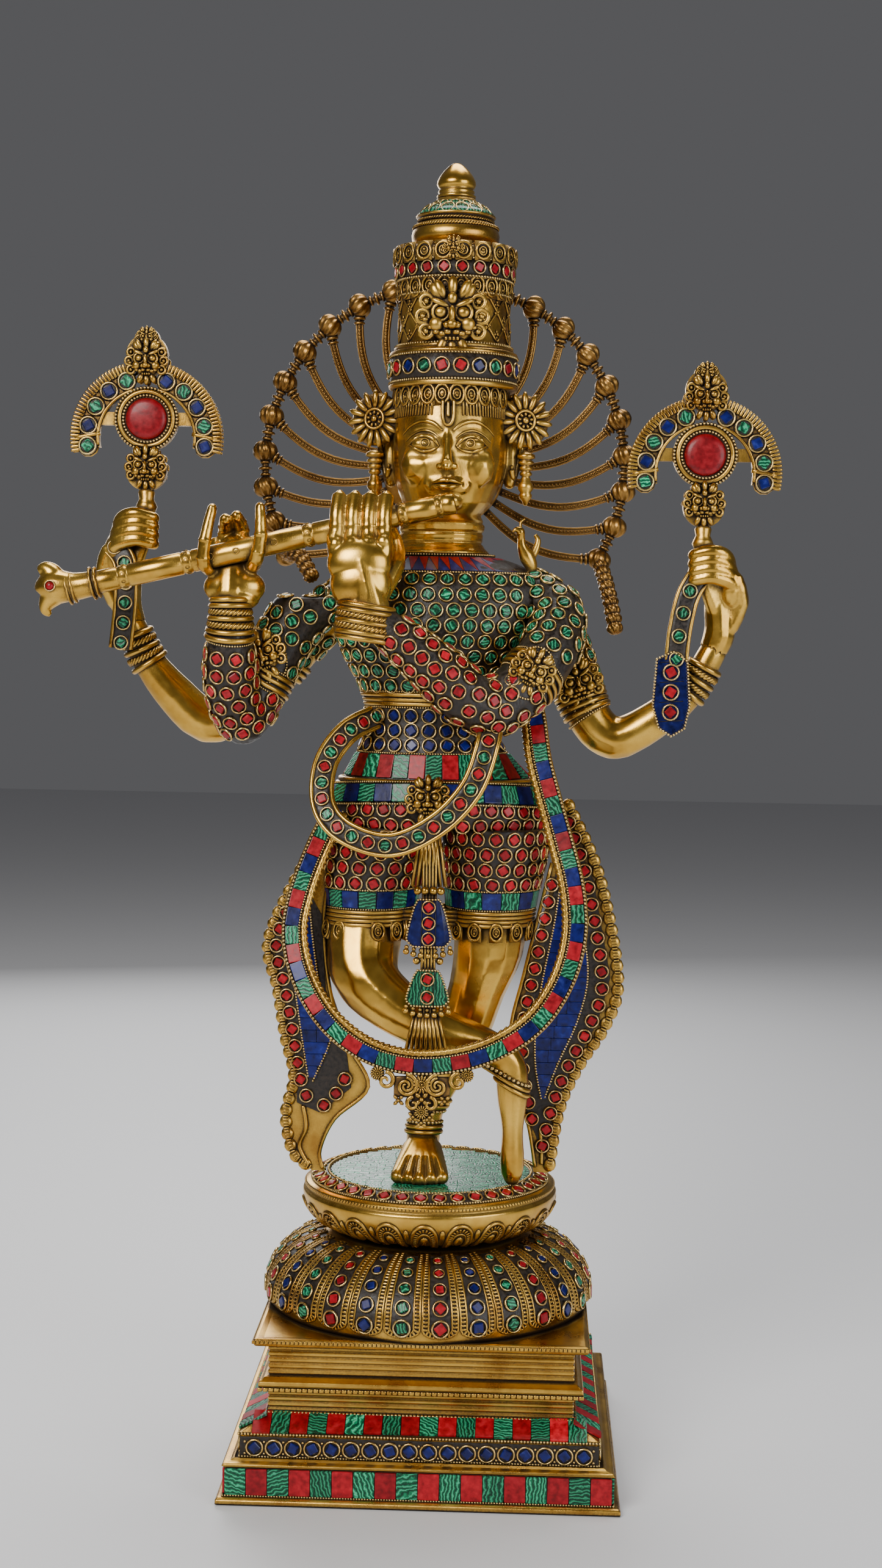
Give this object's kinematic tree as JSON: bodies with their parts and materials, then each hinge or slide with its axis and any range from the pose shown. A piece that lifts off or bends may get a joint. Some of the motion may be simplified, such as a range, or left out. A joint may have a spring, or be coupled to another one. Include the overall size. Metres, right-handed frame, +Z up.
{
  "type": "hindu deity statue",
  "caption": "Standing four-armed flute-player figure in cast brass with stone inlay, pierced halo and hanging sash, on a double lotus and stepped square plinth.",
  "frame": {"origin": "middle of the underside of the foot plate", "axes": "+Z up, the figure faces -Y, its left side is +X"},
  "size_m": [0.4539, 0.2414, 0.813],
  "materials": {
    "brass": "polished and worn, dark patina in the recesses",
    "bare_brass": "polished",
    "red_stone": "satin",
    "green_stone": "satin",
    "blue_stone": "satin",
    "steel": "plain zinc plated"
  },
  "bodies": {
    "statue": {"foot_plate": "brass", "plinth_shell": "brass", "red_tiles": "red_stone", "green_tiles": "green_stone", "plinth_blue_stones": "blue_stone", "lower_course": "brass", "middle_ledge": "brass", "upper_course": "brass", "top_slab": "brass", "lower_lotus": "brass", "lotus_stones_red": "red_stone", "lotus_stones_blue": "blue_stone", "lotus_stones_green": "green_stone", "lotus_bowl": "brass", "bowl_rim_stones": "red_stone", "mosaic_disc": "green_stone", "tie_bolt": "steel", "tie_fasteners": "steel", "standing_leg": "bare_brass", "crossed_leg": "bare_brass", "shorts_right": "brass", "shorts_left": "brass", "hem_bands": "brass", "hips": "brass", "hip_belt": "brass", "belt_buckle": "brass", "waist_wrap": "brass", "torso": "brass", "head": "bare_brass", "crown": "brass", "diadem": "brass", "crown_stones": "red_stone", "crown_pot": "brass", "crown_bud": "brass", "temple_rosettes": "brass", "ear_ornaments": "brass", "halo_hub": "brass", "halo_right": "brass", "halo_left": "brass", "front_right_arm": "brass", "front_right_hand": "bare_brass", "front_left_arm": "brass", "front_left_hand": "bare_brass", "rear_right_arm": "bare_brass", "rear_right_hand": "bare_brass", "rear_left_arm": "bare_brass", "rear_left_hand": "bare_brass", "bangles": "brass", "emblem_plates": "brass", "emblem_gems": "red_stone", "hanging_sash": "brass", "side_panels": "brass", "hip_garland": "brass", "front_strap": "brass", "front_pendants": "brass", "scroll_pendant": "brass", "shoulder_ornaments": "brass", "stone_ribbons": "brass"},
    "flute": {"flute_tube": "bare_brass", "flute_bird_head": "bare_brass"}
  },
  "joints": [
    {"name": "flute_slide", "type": "slide", "parent": "statue", "child": "flute", "axis": [-0.9732, 0, -0.23], "range_m": [0, 0.19]}
  ]
}
